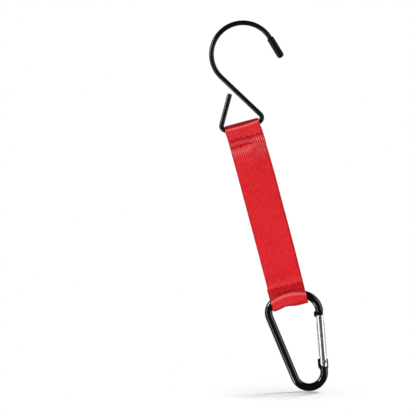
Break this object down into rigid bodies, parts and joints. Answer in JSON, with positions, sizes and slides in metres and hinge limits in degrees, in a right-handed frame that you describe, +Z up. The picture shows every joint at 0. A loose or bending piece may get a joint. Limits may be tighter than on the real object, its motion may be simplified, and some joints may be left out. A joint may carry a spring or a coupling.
{
  "type": "fence hook",
  "caption": "Hanging strap for a fence or rail: a bent wire hook with a capped tip, a webbing strap sewn into loops, and a carabiner with a sprung gate.",
  "frame": {"origin": "top of the inside of the hook's crown, where a fence rail or wire bears", "axes": "+Z up, against the strap's pull; +X across the strap, towards the hook's open side; +Y from the front to the back, where the strap's ends are folded"},
  "size_m": [0.0586, 0.0116, 0.259],
  "materials": {
    "wire_coat": "satin black coat",
    "cap_rubber": "matte black rubber",
    "red_webbing": "woven red webbing",
    "red_thread": "red sewing thread",
    "black_anodised": "gloss black anodised",
    "gate_silver": "polished",
    "pin_steel": "bright steel"
  },
  "bodies": {
    "hook": {"wire_hook": "wire_coat", "tip_cap": "cap_rubber"},
    "strap": {"webbing_strap": "red_webbing", "top_stitching": "red_thread", "bottom_stitching": "red_thread"},
    "carabiner": {"carabiner_body": "black_anodised", "pivot_rivet": "pin_steel"},
    "gate": {"gate": "gate_silver", "latch_pin": "pin_steel", "gate_spring": "pin_steel"},
    "plunger": {"gate_plunger": "pin_steel"}
  },
  "joints": [
    {"name": "strap_swing", "type": "hinge", "parent": "hook", "child": "strap", "pos_m": [-0.0127, 0, -0.0677], "axis": [1, 0, 0], "range_deg": [-135, 135]},
    {"name": "carabiner_swing", "type": "hinge", "parent": "strap", "child": "carabiner", "pos_m": [-0.0127, 0, -0.19055], "axis": [1, 0, 0], "range_deg": [-120, 120]},
    {"name": "gate_hinge", "type": "hinge", "parent": "carabiner", "child": "gate", "pos_m": [-0.00001, 0, -0.23802], "axis": [0, -1, 0], "range_deg": [0, 28], "stiffness_Nm_per_rad": 0.1, "springref_deg": -45.84},
    {"name": "plunger_slide", "type": "slide", "parent": "gate", "child": "plunger", "axis": [0.1788, 0, 0.9839], "range_m": [0, 0.0012], "deforming": ["gate_spring"]}
  ],
  "couplings": [
    {"joint": "plunger_slide", "follows": "gate_hinge", "m_per_rad": 0.0020242}
  ]
}
